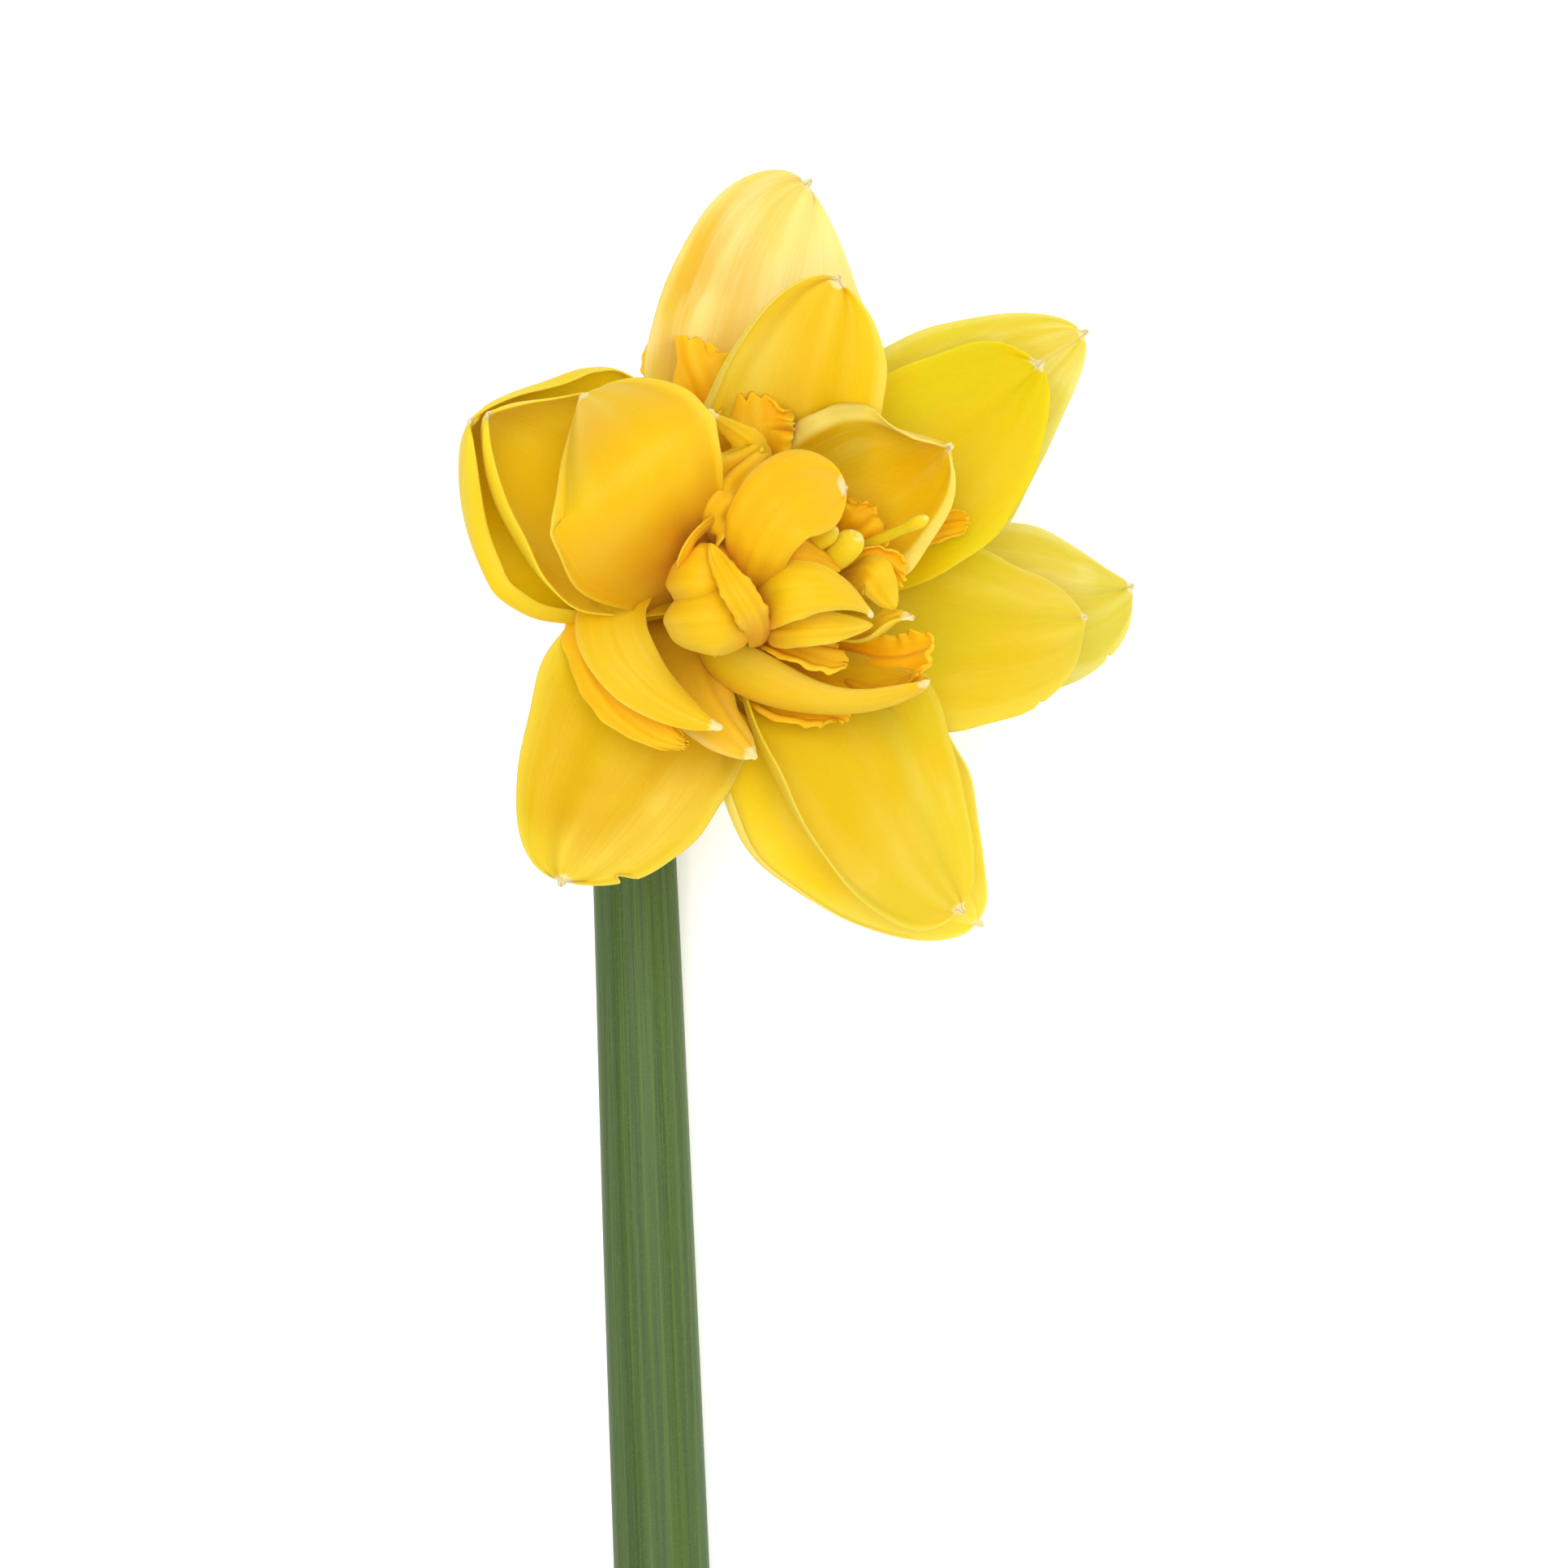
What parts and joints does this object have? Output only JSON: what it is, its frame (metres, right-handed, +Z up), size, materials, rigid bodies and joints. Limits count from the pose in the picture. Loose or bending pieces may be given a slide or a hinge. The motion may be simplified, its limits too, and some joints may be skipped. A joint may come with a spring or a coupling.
{
  "type": "double daffodil flower",
  "caption": "Cut double daffodil lying on its side: layered yellow tepals, a crowded heart of petaloids with orange frills, and a long green stem.",
  "frame": {"origin": "on the surface the flower lies on, below the middle of its footprint", "axes": "+Z up from the surface, +Y along the stem towards the bloom, +X to the bloom's right as seen from above with the bloom at the far end"},
  "size_m": [0.0658, 0.235, 0.078],
  "materials": {
    "tepal": "satin",
    "petaloid": "satin",
    "corona": "satin",
    "floral_tube": "satin",
    "ovary": "satin",
    "stem": "satin",
    "sheath": "matte"
  },
  "bodies": {
    "root": {"stem": "stem", "ovary": "ovary", "floral_tube": "floral_tube", "heart_core": "petaloid", "petaloid_arched": "petaloid", "petaloid_spoon": "petaloid", "petaloid_boat": "petaloid", "petaloid_hooked": "petaloid", "heart_tongue": "petaloid", "heart_hood": "petaloid", "heart_shell_lower": "petaloid", "heart_shell_upper": "petaloid", "heart_scale": "petaloid", "heart_lip": "petaloid", "heart_small_tongue": "petaloid", "heart_small_boat": "petaloid", "heart_strap": "petaloid", "heart_folded_point": "petaloid", "petaloid_sliver": "petaloid", "petaloid_underlobe": "petaloid", "heart_bud_large": "petaloid", "heart_bud_small": "petaloid", "heart_thread": "petaloid", "corona_crumple": "corona", "corona_frill_front": "corona", "corona_frill_right": "corona", "corona_frill_right_upper": "corona", "corona_frill_lower_right": "corona", "corona_frill_lower_left": "corona", "corona_frill_top": "corona", "corona_frill_left": "corona", "corona_frill_top_left": "corona", "corona_frill_bottom": "corona", "corona_frill_far_right": "corona", "tepal_inner_top": "tepal", "tepal_inner_upper_right": "tepal", "tepal_inner_right": "tepal", "tepal_inner_lower_right": "tepal", "tepal_inner_left": "tepal", "tepal_outer_top": "tepal", "tepal_outer_upper_right": "tepal", "tepal_outer_right": "tepal", "tepal_outer_lower_right": "tepal", "tepal_outer_lower_left": "tepal", "tepal_outer_left": "tepal", "papery_sheath": "sheath"}
  },
  "joints": []
}
